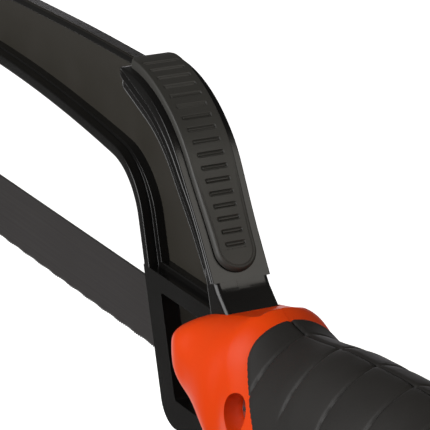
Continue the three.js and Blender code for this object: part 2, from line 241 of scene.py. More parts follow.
def skin(name, rings, looped=False):
    """A closed body through rings of equally many points. Its ends are capped unless it loops."""
    count = len(rings[0])
    vertices = [point for ring in rings for point in ring]
    faces = []
    for r in range(len(rings) if looped else len(rings) - 1):
        a, b = r * count, (r + 1) % len(rings) * count
        for k in range(count):
            n = (k + 1) % count
            faces.append((a + k, a + n, b + n, b + k))
    if not looped:
        faces.append(tuple(range(count)))
        faces.append(tuple(range(len(vertices) - count, len(vertices))))
    return make_object(name, vertices, faces)


def sweep(name, path, profile):
    """A closed body whose section follows a path. profile gives the section's (depth, y) points at a
    point of the path, with depth to the path's left."""
    rings = []
    for here, normal in zip(path, left_normals(path)):
        rings.append([(here.x + normal.x * p.x, p.y, here.y + normal.y * p.x) for p in profile(here)])
    return skin(name, rings)


def plate(name, outline, low_y, high_y):
    """An outline's body from one y to another."""
    return skin(name, [[(p.x, y, p.y) for p in outline] for y in (low_y, high_y)])


def block(name, x, y, z):
    corners = [Vector((x[0], z[0])), Vector((x[1], z[0])), Vector((x[1], z[1])), Vector((x[0], z[1]))]
    return plate(name, corners, *y)


def revolve(name, profile, centre, axis="x", sides=48):
    """A body of revolution: profile holds (along, radius) points, closed along the axis or as a ring."""
    rings = []
    for k in range(sides):
        angle = 2 * math.pi * k / sides
        c, s = math.cos(angle), math.sin(angle)
        if axis == "x":
            rings.append([(centre[0] + a, centre[1] + r * c, centre[2] + r * s) for a, r in profile])
        else:
            rings.append([(centre[0] + r * c, centre[1] + a, centre[2] + r * s) for a, r in profile])
    return skin(name, rings, looped=True)


def apply_modifiers(obj):
    graph = bpy.context.evaluated_depsgraph_get()
    shaped = bpy.data.meshes.new_from_object(obj.evaluated_get(graph))
    obj.modifiers.clear()
    old = obj.data
    obj.data = shaped
    bpy.data.meshes.remove(old)
    return obj


def bevel(obj, width, segments=4, angle=35):
    """Rounds the edges that are sharper than an angle in degrees."""
    modifier = obj.modifiers.new("bevel", "BEVEL")
    modifier.width = width * MM
    modifier.segments = segments
    modifier.limit_method = "ANGLE"
    modifier.angle_limit = math.radians(angle)
    return apply_modifiers(obj)


def combine(obj, others, operation="UNION"):
    """Joins, cuts or intersects an object with others, which are used up."""
    for other in others:
        modifier = obj.modifiers.new("combine", "BOOLEAN")
        modifier.operation = operation
        modifier.solver = "MANIFOLD"
        modifier.object = other
        apply_modifiers(obj)
        bpy.data.objects.remove(other)
    return obj


def cut(obj, *others):
    return combine(obj, others, "DIFFERENCE")


def smooth(obj, angle=32, flat=None):
    """Smooth shading with the sharper edges kept, and also the outlines of the faces that have the
    normal flat, if one is given."""
    work = bmesh.new()
    work.from_mesh(obj.data)
    limit = math.radians(angle)
    for face in work.faces:
        face.smooth = True
    for edge in work.edges:
        edge.smooth = len(edge.link_faces) == 2 and edge.calc_face_angle(0) < limit
        if flat and edge.smooth:
            a, b = (face.normal.angle(flat, 3) < 0.01 for face in edge.link_faces)
            edge.smooth = a == b
    work.to_mesh(obj.data)
    work.free()
    modifier = obj.modifiers.new("even_normals", "WEIGHTED_NORMAL")
    modifier.keep_sharp = True
    return apply_modifiers(obj)


def place(obj, node, material, angle=32, flat=None):
    """Finishes a piece: it stands for a CAD node and rides on that node's body."""
    smooth(obj, angle, flat)
    obj.data.materials.clear()
    obj.data.materials.append(material)
    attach(obj, frame["nodes"][node]["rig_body"])
    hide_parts(node)
    return obj


# ---------------------------------------------------------------- materials


def new_material(name, **sockets):
    """A principled material with constant sockets set, its nodes, and its shader."""
    material = bpy.data.materials.new(name)
    material.use_nodes = True
    nodes = material.node_tree.nodes
    shader = nodes["Principled BSDF"]
    for socket, value in sockets.items():
        shader.inputs[socket.replace("_", " ")].default_value = value
    return material, shader


def add_node(material, kind, links=(), **values):
    """A node with its properties and input values set, and with (input, output socket) links made."""
    node = material.node_tree.nodes.new(kind)
    for name, value in values.items():
        if hasattr(node, name):
            setattr(node, name, value)
        else:
            node.inputs[name.replace("_", " ")].default_value = value
    for socket, source in links:
        material.node_tree.links.new(node.inputs[socket], source)
    return node


def link(material, source, target):
    material.node_tree.links.new(source, target)


def coordinates(material, scale=(1, 1, 1)):
    """Object coordinates, in metres, stretched by a scale."""
    place_node = add_node(material, "ShaderNodeTexCoord")
    mapping = add_node(material, "ShaderNodeMapping", [("Vector", place_node.outputs["Object"])])
    mapping.inputs["Scale"].default_value = scale
    return mapping.outputs["Vector"]


def noise(material, vector, scale, detail=3):
    node = add_node(material, "ShaderNodeTexNoise", [("Vector", vector)])
    node.inputs["Scale"].default_value = scale
    node.inputs["Detail"].default_value = detail
    return node.outputs["Fac"]


def between(material, factor, low, high, start=0.0, end=1.0):
    """A number that goes from low to high as the factor goes from start to end."""
    node = add_node(material, "ShaderNodeMapRange", [("Value", factor)])
    node.inputs["From Min"].default_value = start
    node.inputs["From Max"].default_value = end
    node.inputs["To Min"].default_value = low
    node.inputs["To Max"].default_value = high
    return node.outputs["Result"]


def mixed_colour(material, factor, first, second):
    node = add_node(material, "ShaderNodeMix", data_type="RGBA")
    link(material, factor, node.inputs["Factor"])
    for socket, value in (("A", first), ("B", second)):
        target = [i for i in node.inputs if i.name == socket and i.type == "RGBA"][0]
        if isinstance(value, tuple):
            target.default_value = (*value, 1)
        else:
            link(material, value, target)
    return [o for o in node.outputs if o.type == "RGBA"][0]


def bump(material, height, strength, distance):
    node = add_node(material, "ShaderNodeBump", [("Height", height)])
    node.inputs["Strength"].default_value = strength
    node.inputs["Distance"].default_value = distance
    return node.outputs["Normal"]


def frame_paint():
    """Black enamel: satin on the recessed web, glossy on the rims that stand proud of it. Its colour also
    holds painted light: a painted reflection on the web and painted shade on the rims.
    """
    material, shader = new_material("frame_paint", Specular_IOR_Level=0.5)
    vector = coordinates(material)
    split = add_node(material, "ShaderNodeSeparateXYZ", [("Vector", vector)])
    width = add_node(material, "ShaderNodeMath", [(0, split.outputs["Y"])], operation="ABSOLUTE")
    proud = between(material, width.outputs[0], 0, 1, 0.00115, 0.0014)
    facing = add_node(material, "ShaderNodeTexCoord").outputs["Normal"]
    facing = add_node(material, "ShaderNodeSeparateXYZ", [("Vector", facing)])
    facing = add_node(material, "ShaderNodeMath", [(0, facing.outputs["Y"])], operation="ABSOLUTE")
    edge_on = between(material, facing.outputs[0], 1, 0, 0.5, 0.8)
    rim = add_node(material, "ShaderNodeMath", [(0, proud), (1, edge_on)], operation="MAXIMUM")
    rim_gloss_and_shade = rim.outputs[0]
    clouds = noise(material, vector, 60)
    # Painted light in one paint. The web's lighter olive base is a painted reflection of the surroundings.
    # The near-black base on the rims, and on every face not turned sideways, is painted shade. Only the
    # roughness split is a real difference in finish.
    colour = mixed_colour(material, clouds, (0.026, 0.0235, 0.0175), (0.033, 0.029, 0.0235))
    colour = mixed_colour(material, rim_gloss_and_shade, colour, (0.005, 0.0047, 0.0044))
    link(material, colour, shader.inputs["Base Color"])
    satin = between(material, clouds, 0.40, 0.50, 0.35, 0.65)
    glossy = between(material, clouds, 0.20, 0.27, 0.35, 0.65)
    mix = add_node(material, "ShaderNodeMix", data_type="FLOAT")
    link(material, rim_gloss_and_shade, mix.inputs[0])
    link(material, satin, mix.inputs[2])
    link(material, glossy, mix.inputs[3])
    link(material, mix.outputs[0], shader.inputs["Roughness"])
    grain = noise(material, vector, 2600, 4)
    link(material, bump(material, grain, 0.12, 0.00006), shader.inputs["Normal"])
    return material


def rubber(name, dark, light, roughness, grain_scale, sheen=0.0):
    material, shader = new_material(name, Specular_IOR_Level=0.45, Sheen_Weight=sheen)
    vector = coordinates(material)
    clouds = noise(material, vector, 90)
    link(material, mixed_colour(material, clouds, dark, light), shader.inputs["Base Color"])
    link(material, between(material, clouds, roughness - 0.05, roughness + 0.07, 0.3, 0.7),
         shader.inputs["Roughness"])
    grain = noise(material, vector, grain_scale, 5)
    link(material, bump(material, grain, 0.25, 0.00008), shader.inputs["Normal"])
    return material


def orange_plastic():
    material, shader = new_material(
        "orange_plastic", Specular_IOR_Level=0.3, Subsurface_Weight=0.06, Subsurface_Scale=0.002)
    vector = coordinates(material)
    clouds = noise(material, vector, 45)
    colour = mixed_colour(material, clouds, (0.86, 0.056, 0.001), (0.90, 0.068, 0.002))
    link(material, colour, shader.inputs["Base Color"])
    link(material, between(material, clouds, 0.36, 0.44, 0.35, 0.65), shader.inputs["Roughness"])
    grain = noise(material, vector, 3800, 3)
    link(material, bump(material, grain, 0.10, 0.00005), shader.inputs["Normal"])
    return material


def blade_steel():
    """Charcoal lacquer with fine lengthwise grinding lines, worn to bright steel on the teeth."""
    material, shader = new_material("blade_steel", Specular_IOR_Level=0.5)
    vector = coordinates(material)
    lines = noise(material, coordinates(material, (30, 1, 2600)), 1.0, 4)
    clouds = noise(material, vector, 40)
    lacquer = mixed_colour(material, clouds, (0.027, 0.0235, 0.023), (0.035, 0.0315, 0.031))
    height = add_node(material, "ShaderNodeSeparateXYZ", [("Vector", vector)]).outputs["Z"]
    tooth_z = blade_low.z * MM
    bare = between(material, height, 1, 0, tooth_z + 0.00015, tooth_z + 0.0005)
    link(material, mixed_colour(material, bare, lacquer, (0.16, 0.155, 0.15)), shader.inputs["Base Color"])
    link(material, between(material, bare, 0, 0.8), shader.inputs["Metallic"])
    link(material, between(material, lines, 0.42, 0.56, 0.3, 0.7), shader.inputs["Roughness"])
    link(material, bump(material, lines, 0.15, 0.00003), shader.inputs["Normal"])
    return material


def plated_steel():
    material, shader = new_material("plated_steel", Metallic=1.0)
    vector = coordinates(material)
    clouds = noise(material, vector, 160)
    colour = mixed_colour(material, clouds, (0.50, 0.51, 0.53), (0.62, 0.62, 0.63))
    link(material, colour, shader.inputs["Base Color"])
    link(material, between(material, clouds, 0.22, 0.36, 0.35, 0.65), shader.inputs["Roughness"])
    grain = noise(material, vector, 5200, 3)
    link(material, bump(material, grain, 0.10, 0.00004), shader.inputs["Normal"])
    return material


PAINT = frame_paint()
PAD_RUBBER = rubber("pad_rubber", (0.038, 0.037, 0.033), (0.048, 0.046, 0.041), 0.50, 3600)
GRIP_RUBBER = rubber("grip_rubber", (0.014, 0.0125, 0.0115), (0.021, 0.019, 0.017), 0.60, 3000)
ORANGE = orange_plastic()
LACQUER = blade_steel()
ZINC = plated_steel()


# ---------------------------------------------------------------- frame casting


def rim_profile(here):
    """Section of the inner rim: a proud face and one step down to the web, on both sides. The step
    is narrow under the arm and widens down the post."""
    ledge = RIM_HEIGHT + 0.3 + 1.1 * max(0.0, min(1.0, (46 - here.y) / 9))
    half = [
        (0, HEEL_HALF_WIDTH, 0.5),
        (RIM_HEIGHT, HEEL_HALF_WIDTH, 0.25),
        (RIM_HEIGHT + 0.05, LEDGE_HALF_WIDTH, 0.1),
        (ledge, LEDGE_HALF_WIDTH, 0.13),
        (ledge + 0.05, WEB_HALF_WIDTH - 0.1, 0.1),
        (ledge + 0.6, WEB_HALF_WIDTH - 0.1, 0),
    ]
    return rounded_run(mirrored(half), closed=True, steps=5)


def top_rim_profile(here):
    """Section of the narrow top rim, whose sides roll over and are undercut to the web."""
    half = [
        (0, TOP_HALF_WIDTH + 0.25, 1.05),
        (-1.3, TOP_HALF_WIDTH + 0.25, 0.2),
        (-1.5, WEB_HALF_WIDTH - 0.1, 0.1),
        (-2.4, WEB_HALF_WIDTH - 0.1, 0),
    ]
    return rounded_run(mirrored(half), closed=True, steps=5)


def flange_rings(outside, inside, end_radius=2.6):
    """Sections of a wide flange between an outside and an inside run, rounded off at the runs' end. Its
    side has a dark band of constant width along the inside run, then a bead, then a cap."""
    rings = []
    share = end_radius / run_length(outside)
    rounding = 1 - share * (1 - np.sin(np.linspace(0.12, math.pi / 2, 12)))
    fractions = np.concatenate([np.linspace(0, 1 - share, 150), rounding])
    for fraction, out, into in zip(fractions, resample(outside, fractions), resample(inside, fractions)):
        thick = (into - out).length
        inward = (into - out) / thick
        close = max(0.0, 1 - (1 - fraction) / share)
        shrink = 1 - math.sqrt(max(0.0, 1 - close * close))
        side = FLANGE_HALF_WIDTH + 0.45 * step_up(fraction, 0.15, 0.5) - 1.3 * shrink
        cap = max(thick - 4.1, 0.55)
        band = max(thick - 2.6, cap + 0.9)
        half = [
            (0, 0, 0),
            (0, side, 0.25),
            (cap, side + 0.12, 0.2),
            (cap + 0.16, side - 0.38, 0.06),
            (cap + 0.42, side - 0.05, 0.3),
            (band, side + 0.16, 0.35),
            (band + 0.3, side - 0.45, 0.12),
            (thick, side - 0.3, 1.0),
            (thick, 0, 0),
        ]
        profile = rounded_run(half, steps=4)
        profile = profile + [Vector((p.x, -p.y)) for p in reversed(profile[1:-1])]
        top = 0.7 * end_radius * shrink
        low = thick - 0.45 * end_radius * shrink
        ring = []
        for p in profile:
            depth = top + p.x * (low - top) / thick
            where = out + inward * depth
            ring.append((where.x, p.y, where.y))
        rings.append(ring)
    return rings


def rear_flange():
    outside = [p for p in outer_run if p.x < FLANGE_FRONT_X] + [Vector((FLANGE_FRONT_X, TOP_Z))]
    inside = rounded_run([
        (-12.0, 31.75, 0),
        (3.9, 52.2, 25),
        (FLANGE_FRONT_X, 58.6, 0),
    ], step=0.025)
    return skin("rear_flange", flange_rings(outside, inside))


def on_arm_top(x):
    """The point at x on the straight, sloping top of the arm."""
    slope = (FRONT_TOP[1] - TOP_Z) / (FRONT_TOP[0] - TOP_BEND_X)
    return Vector((x, TOP_Z + slope * (x - TOP_BEND_X)))


def nose_flange():
    rear = on_arm_top(NOSE_REAR_X)
    outside = [rear] + [p for p in outer_run if p.x > NOSE_REAR_X]
    inside = rounded_run([
        (rear.x, rear.y - 4, 0),
        (FRONT_TOP[0] - 4.5, FRONT_TOP[1] - 4, 22),
        (LUG_FRONT_X - 4, 26, 0),
    ], step=0.05)
    outside.reverse()
    inside.reverse()
    return skin("nose_flange", flange_rings(outside, inside))


def heel_box():
    """Box behind the rear post: a deep pocket on the left side, closed above by the crossbar."""
    wall = 5.9
    floor = 5.5
    pocket_top = CROSSBAR_Z - 3.2
    pocket_depth_y = 1.3
    body = plate("heel_box", rounded_run([
        (post_x(0), 0, 5.5),
        (post_x(CROSSBAR_Z), CROSSBAR_Z, 0),
        (-19.5, CROSSBAR_Z, 0),
        (-26, 23, 0),
        (-26, 0, 3),
    ], closed=True), -HEEL_HALF_WIDTH, HEEL_HALF_WIDTH)
    pocket = plate("pocket", rounded_run([
        (post_x(floor) - wall, floor, 0.6),
        (post_x(pocket_top) - wall, pocket_top, 0.6),
        (-25, pocket_top, 0.6),
        (-25, floor, 0.6),
    ], closed=True), pocket_depth_y, HEEL_HALF_WIDTH + 1)
    cut(body, pocket)
    bevel(body, 0.4)
    ledge = block("ledge", (-17, post_x(CROSSBAR_Z)), (-LEDGE_HALF_WIDTH, LEDGE_HALF_WIDTH),
                  (CROSSBAR_Z - 2, CROSSBAR_Z + 1.15))
    return combine(body, [bevel(ledge, 0.3)])


def tang():
    """The bow's tail: a wide neck into the collar, and a narrower bar inside the handle."""
    neck = plate("tang", rounded_run([
        (-11, 35, 0),
        (-14, 35.57, 0),
        (-16.4, 31.95, 7),
        (-26.5, 23.4, 4),
        (-34, 23, 0),
        (-34, 5, 0),
        (-20, 5, 0),
    ], closed=True), -TANG_HALF_WIDTH, TANG_HALF_WIDTH)
    bar = plate("tang_bar", rounded_run([
        (-33, 23, 0),
        (-78, 23, 3),
        (-78, 7, 3),
        (-33, 7, 0),
    ], closed=True), -LEDGE_HALF_WIDTH, LEDGE_HALF_WIDTH)
    return combine(bevel(neck, 1.1, segments=6), [bevel(bar, 0.5)])


def lug():
    """Front foot of the bow, which the bush sits in."""
    half_width = 8
    body = plate("lug", rounded_run([
        (LUG_REAR_X, 5, 3),
        (LUG_FRONT_X, 5, 3),
        (LUG_FRONT_X, 27, 2),
        (LUG_REAR_X, 25, 2),
    ], closed=True), -half_width, half_width)
    return bevel(body, 1.1, segments=5)


def make_frame_casting():
    """The bow in one piece, cut for the blade's rear end, which is open on the right, and the bush."""
    casting = sweep("frame_casting", inner_run, rim_profile)
    web_outline = outer_run + list(reversed(inner_run)) + [Vector((-14, 5)), Vector((-18.5, 29.5))]
    web = plate("web", web_outline, -WEB_HALF_WIDTH, WEB_HALF_WIDTH)
    top_run = [p for p in outer_run if p.x > FLANGE_FRONT_X - 6]
    top_rim = sweep("top_rim", top_run, top_rim_profile)
    combine(casting, [web, top_rim, rear_flange(), nose_flange(), heel_box(), tang(), lug()])
    channel = block("channel", (-23, 30), (-20, 0.7), (blade_low.z - 1.5, blade_high.z + 1.5))
    bush_half = (bush_high.y - bush_low.y) / 2 + 0.15
    bush_hole = block("bush_hole", (LUG_REAR_X - 5, LUG_FRONT_X + 5), (-bush_half, bush_half),
                      (BLADE_MIDDLE_Z - bush_half, BLADE_MIDDLE_Z + bush_half))
    cut(casting, channel, bush_hole)
    return place(casting, "frame_bow", PAINT)


make_frame_casting()

# ---------------------------------------------------------------- pads on the bow

PAD_HEIGHT = 1.1
SHOULDER = 0.7                          # radius of the rolled edge at the tip
RIB_HALF_HEIGHT = 0.27
RIB_CORNER = 0.12
RIB_DEPTH = 0.26
FIRST_RIB = 4.75                        # from the pad's tip
RIB_PITCH = 2.28


def rib_outline_distance(y, s, rib_s, half_length):
    """Distances from points of the pad to the outline of one rib, a rounded rectangle."""
    over_y = np.abs(y) - (half_length - RIB_CORNER)
    over_s = np.abs(s - rib_s) - (RIB_HALF_HEIGHT - RIB_CORNER)
    outside = np.hypot(np.maximum(over_y, 0), np.maximum(over_s, 0))
    return np.abs(outside + np.minimum(np.maximum(over_y, over_s), 0) - RIB_CORNER)


def make_pad(name, node, path, rib_count, outward):
    """A moulded pad along a path that starts at its rounded tip, with a rolled shoulder all round and
    a row of ribs, each one an engraved outline. outward is the side of the path that the pad is on."""
    length = run_length(path)
    tip = 3.9
    s = np.unique(np.concatenate([
        tip * (1 - np.cos(np.linspace(0.04, math.pi / 2, 60))),
        np.arange(tip, length - SHOULDER, 0.085),
        length - SHOULDER * np.cos(np.linspace(0, math.pi / 2, 14)),
    ]))
    line = resample(path, np.linspace(0, 1, 900))
    normals = left_normals(line)
    at = s / length * (len(line) - 1)
    index = np.arange(len(line))
    px, pz, nx, nz = (
        np.interp(at, index, [v[k] for v in vectors])
        for vectors in (line, normals) for k in (0, 1))

    half_width = tip + 0.6 * step_up(s, 3, 22)
    half_width = np.where(s < tip, np.sqrt(np.maximum(tip**2 - (tip - s) ** 2, 1e-4)), half_width)
    corner = 1.9
    past = np.clip(s - (length - corner), 0, corner)
    half_width = half_width - (corner - np.sqrt(np.maximum(corner**2 - past**2, 0)))
    spread = np.linspace(-1, 1, 91)
    y = half_width[:, None] * (0.7 * spread + 0.3 * np.sin(spread * math.pi / 2))[None, :]
    along = s[:, None] + 0 * y

    edge = half_width[:, None] - np.abs(y)
    edge = np.where(along < tip, tip - np.hypot(tip - along, y), edge)
    edge = np.minimum(edge, length - along)
    shoulder = SHOULDER - 0.35 * step_up(along, 6, 26)
    rise = np.clip(edge / shoulder, 0, 1)
    height = PAD_HEIGHT * np.sqrt(np.maximum(1 - (1 - rise) ** 2, 0))
    height = height + 0.35 * step_up(along, length - 16, length - 2) * step_up(rise, 0, 1)
    height -= 0.10 * np.exp(-(((edge - shoulder - 0.1) / 0.13) ** 2)) * (1 - step_up(along, 6, 26))
    for i in range(rib_count):
        rib_s = FIRST_RIB + RIB_PITCH * i + 0.0065 * i * i
        ring = rib_outline_distance(y, along, rib_s, 1.75 + 0.095 * i)
        height -= RIB_DEPTH * np.clip(1 - (ring / 0.17) ** 2, 0, 1)

    sink = 0.02
    height = np.maximum(height, sink)
    x3 = px[:, None] + outward * nx[:, None] * height
    z3 = pz[:, None] + outward * nz[:, None] * height
    rows, columns = y.shape
    vertices = [(x3[r, c], y[r, c], z3[r, c]) for r in range(rows) for c in range(columns)]
    size = len(vertices)
    for r in range(rows):
        for c in (0, -1):
            vertices.append((px[r] - outward * nx[r] * sink, y[r, c], pz[r] - outward * nz[r] * sink))
    faces = []
    for r in range(rows - 1):
        a, b = r * columns, (r + 1) * columns
        p, q = size + 2 * r, size + 2 * r + 2
        faces += [(a + c, a + c + 1, b + c + 1, b + c) for c in range(columns - 1)]
        faces += [(a, b, q, p), (a + columns - 1, p + 1, q + 1, b + columns - 1), (p, q, q + 1, p + 1)]
    last = (rows - 1) * columns
    faces.append(tuple(range(columns)) + (size + 1, size))
    faces.append(tuple(range(last, last + columns)) + (size + 2 * rows - 1, size + 2 * rows - 2))
    return place(make_object(name, vertices, faces), node, PAD_RUBBER, angle=60)


thumb_path = [Vector((-15.2, 34.1))] + [p for p in outer_run if p.x < PAD_FRONT_X and p.y > 34.4]
thumb_path.append(Vector((PAD_FRONT_X, TOP_Z)))
make_pad("thumb_pad_ribbed", "thumb_pad", thumb_path, 17, 1)

nose_path = [p for p in reversed(outer_run) if p.x > NOSE_REAR_X and p.y > 33]
nose_path.append(on_arm_top(NOSE_REAR_X + 4))
make_pad("nose_pad_ribbed", "nose_pad", nose_path, 18, -1)

# ---------------------------------------------------------------- handle

# From the nose back: x, top, bottom, half-width, squareness of the section.
HANDLE_SECTIONS = [
    (-9.2, 23.4, 18.9, 9, 2.8),
    (-10.1, 24.7, 17.4, 10.5, 3.2),
    (-12.2, 26, 15.2, 11.7, 3.4),
    (-18, 28.6, 9.2, 12.7, 2.5),
    (-26, 31.1, 0.8, 12.7, 2.3),
    (-29.8, 32.4, -2, 12, 2.2),
    (-34.5, 31.1, -3.4, 12.6, 2),
    (-55, 32.9, -3.5, 12.9, 2),
    (-80, 34.2, -3.5, 13.3, 2),
    (-103, 33.2, -5, 13.7, 2.1),
    (-120, 31, -7, 13, 2.2),
    (-127, 28, -5.5, 11.5, 2.3),
    (-130, 24, -1, 8, 2.2),
]
RUBBER_THICKNESS = 2.5
SEAM_HALF_GAP = 0.04
SCREWS = {"front": (-36, 17.6), "middle": (-68, 15), "rear": (-118, 12)}
SCREW_SEAT_Y = 7.2
RECESS_RADIUS = 3.55
SHANK_HOLE_RADIUS = 2

# The rubber's front edge from above the handle to below it, and its rear edge back up.
rubber_front = rounded_run([
    (-33.2, 60, 0),
    (-33, 27, 5),
    (-42.2, 18.3, 8),
    (-73, -30, 0),
])
rubber_rear = [Vector((-112.8, -30)), Vector((-107.2, 60))]


def smooth_rows(table, spacing):
    """The rows of a table and further rows between them, on smooth curves through them."""
    table = np.array(table, float)
    steps = np.linalg.norm(np.diff(table[:, :4], axis=0), axis=1)
    t = np.concatenate([[0], np.cumsum(steps)])
    slopes = np.gradient(table, t, axis=0)
    rows = []
    for i, step in enumerate(steps):
        count = max(2, math.ceil(step / spacing))
        for u in np.arange(count) / count:
            rows.append(
                (1 + 2 * u) * (1 - u) ** 2 * table[i] + u * (1 - u) ** 2 * step * slopes[i]
                + u * u * (3 - 2 * u) * table[i + 1] + u * u * (u - 1) * step * slopes[i + 1])
    rows.append(table[-1])
    return np.array(rows)


def distance_to(run, x, z):
    """Distances from points to a run of lines."""
    best = np.full(np.shape(x), 1e9)
    for a, b in zip(run, run[1:]):
        along = b - a
        u = np.clip(((x - a.x) * along.x + (z - a.y) * along.y) / along.length_squared, 0, 1)
        best = np.minimum(best, np.hypot(x - a.x - u * along.x, z - a.y - u * along.y))
    return best


def handle_angles():
    """Angles of one half of a section, from the top seam to the bottom one, closer near the seams."""
    even = np.linspace(math.pi / 2, -math.pi / 2, 72)
    close = np.array([0.02, 0.05, 0.09, 0.14])
    ends = np.concatenate([math.pi / 2 - close, close - math.pi / 2])
    angles = np.unique(np.concatenate([even[4:-4], ends, [math.pi / 2, -math.pi / 2]]))
    return angles[::-1]


def handle_half(name, side, spacing, offset):
    """One half of the handle's body: side is 1 for the left and -1 for the right.
    offset(x, y, z, up) moves the surface out, where up goes from -1 at the bottom to 1 at the top."""
    x, top, bottom, width, power = smooth_rows(HANDLE_SECTIONS, spacing).T[:, :, None]
    angles = handle_angles()[None, :]
    c, s = np.maximum(np.cos(angles), 0), np.sin(angles)
    half_height = (top - bottom) / 2
    across = c ** (2 / power)
    up = np.sign(s) * np.abs(s) ** (2 / power)
    y = width * across
    z = (top + bottom) / 2 + half_height * up
    ny = across ** (power - 1) / width
    nz = np.sign(up) * np.abs(up) ** (power - 1) / half_height
    size = np.hypot(ny, nz)
    x = x + 0 * y
    moved = offset(x, y, z, up + 0 * y)
    y = np.maximum(y + moved * ny / size, SEAM_HALF_GAP)
    z = z + moved * nz / size
    rings = []
    for r in range(x.shape[0]):
        rings.append([(x[r, k], side * y[r, k], z[r, k]) for k in range(x.shape[1])])
    return skin(name, rings)


def collar_offset(x, y, z, up):
    """The orange body slopes down to the rubber's edge, with a shallow waist behind its nose."""
    near = distance_to(rubber_front, x, z)
    slope = -0.6 * np.clip(1 - near / 4.2, 0, 1)
    waist = -0.5 * np.exp(-((x + 20) / 5) ** 2) * (1 - step_up(up, 0.55, 0.95))
    return slope + waist


GROOVE_FIRST_X = -38.3
GROOVE_PITCH = 11.65
GROOVE_COUNT = 6


def grip_offset(x, y, z, up):
    """Crowned bands between cross grooves that fade out on the lower side, and a rounded rim."""
    bow = 1.2 * np.sin(np.pi * np.clip(y / 13, 0, 1))
    behind = (GROOVE_FIRST_X - x - bow) / GROOVE_PITCH
    nearest = np.clip(np.round(behind), 0, GROOVE_COUNT - 1)
    away = np.abs(behind - nearest) * GROOVE_PITCH
    high = step_up(up, 0.36, 0.62)
    crown = -0.16 * np.clip(1 - away / 3.5, 0, 1) ** 2
    groove = -0.5 * np.exp(-((away / 0.25) ** 2))
    rim = np.minimum(distance_to(rubber_front, x, z), distance_to(rubber_rear, x, z))
    rim_roll = -0.45 * np.clip(1 - rim / 0.8, 0, 1) ** 2
    seam_roll = -0.5 * np.exp(-(((y - SEAM_HALF_GAP) / 0.22) ** 2))
    return high * (crown + groove) + rim_roll + seam_roll


def recess_cut(x, z):
    """Cutter for a screw's deep round recess, with a rolled mouth at the handle's side."""
    profile = [(SCREW_SEAT_Y, 0), (SCREW_SEAT_Y, RECESS_RADIUS - 0.35), (SCREW_SEAT_Y + 0.35, RECESS_RADIUS)]
    mouth_y = 12.1
    for k in range(9):
        angle = math.pi / 2 * k / 8
        profile.append((mouth_y + 1.4 * math.sin(angle), RECESS_RADIUS + 0.5 * (1 - math.cos(angle))))
    profile += [(20, RECESS_RADIUS + 0.5), (20, 0)]
    return revolve("recess", profile, (x, 0, z), axis="y", sides=64)


def shank_cut(x, z):
    """Cutter for a screw's shank, from the right shell to just past the seat of its head."""
    end = SCREW_SEAT_Y + 1
    profile = [(-9, 0), (-9, SHANK_HOLE_RADIUS), (end, SHANK_HOLE_RADIUS), (end, 0)]
    return revolve("shank_hole", profile, (x, 0, z), axis="y", sides=32)


def tang_cut():
    """Cutter for the tang's neck, and for the hollow that its bar is in."""
    half = TANG_HALF_WIDTH + 0.08
    neck = plate("neck_cut", [Vector(p) for p in (
        (10, 50), (-13, 50), (-13, 35.2), (-16.5, 32.1), (-27, 23.2), (-34.4, 23.1),
        (-34.4, 4.7), (-26.4, 4.7), (-26.4, -12), (10, -12),
    )], -half, half)
    hollow = plate("hollow", rounded_run([
        (-33, 26, 0), (-100, 26, 6), (-100, 3, 6), (-33, 3, 0),
    ], closed=True), -6, 6)
    return combine(neck, [hollow])


def rubber_region(grow):
    """Everything between the rubber's two edges, the front one moved forward and the rear one back."""
    front = [Vector((p.x + grow, p.y)) for p in rubber_front]
    rear = [Vector((p.x - grow, p.y)) for p in rubber_rear]
    return plate("region", front + rear, -40, 40)


RAMP_START = Vector((-8, 25.3))
RAMP_CREST = Vector((-29.8, 31.5))


def ramp_cut():
    """Cutter for the flat ramp that climbs from the tang to the collar's crest."""
    above = [Vector((RAMP_CREST.x, 40)), Vector((RAMP_START.x, 40))]
    return plate("ramp_cut", [RAMP_START, RAMP_CREST] + above, -30, 30)


def make_shell(side, name, node):
    """An orange shell: full size at the collar and the end, and thinner under the rubber."""
    shell = handle_half(name, side, 0.7, collar_offset)
    cut(shell, ramp_cut(), rubber_region(0.03))
    core = handle_half("core", side, 2.0, lambda x, y, z, up: 0 * x - RUBBER_THICKNESS)
    combine(shell, [core])
    cut(shell, tang_cut())
    for x, z in SCREWS.values():
        if side > 0:
            cut(shell, recess_cut(x, z))
        cut(shell, shank_cut(x, z))
    if side < 0:
        window = block("blade_window", (-24, 10), (-30, 0), (blade_low.z - 3, blade_high.z + 3))
        cut(shell, window)
    along = (RAMP_START - RAMP_CREST).normalized()
    return place(shell, node, ORANGE, flat=Vector((-along.y, 0, along.x)))


def make_grip(side, name, node):
    """One half of the rubber, as a thick skin."""
    grip = handle_half(name, side, 0.3, grip_offset)
    inner = handle_half("inner", side, 2.0, lambda x, y, z, up: 0 * x - RUBBER_THICKNESS + 0.02)
    combine(grip, [rubber_region(0)], "INTERSECT")
    seam_filler = block("seam_filler", (-140, 0), (-2, 2), (0, 30))
    cut(grip, inner, seam_filler)
    if side > 0:
        for x, z in SCREWS.values():
            cut(grip, recess_cut(x, z))
    return place(grip, node, GRIP_RUBBER, angle=50)


make_shell(1, "collar_left", "handle_left_shell")
make_shell(-1, "collar_right", "handle_right_shell")
make_grip(1, "grip_left_grooved", "grip_left")
make_grip(-1, "grip_right_grooved", "grip_right")


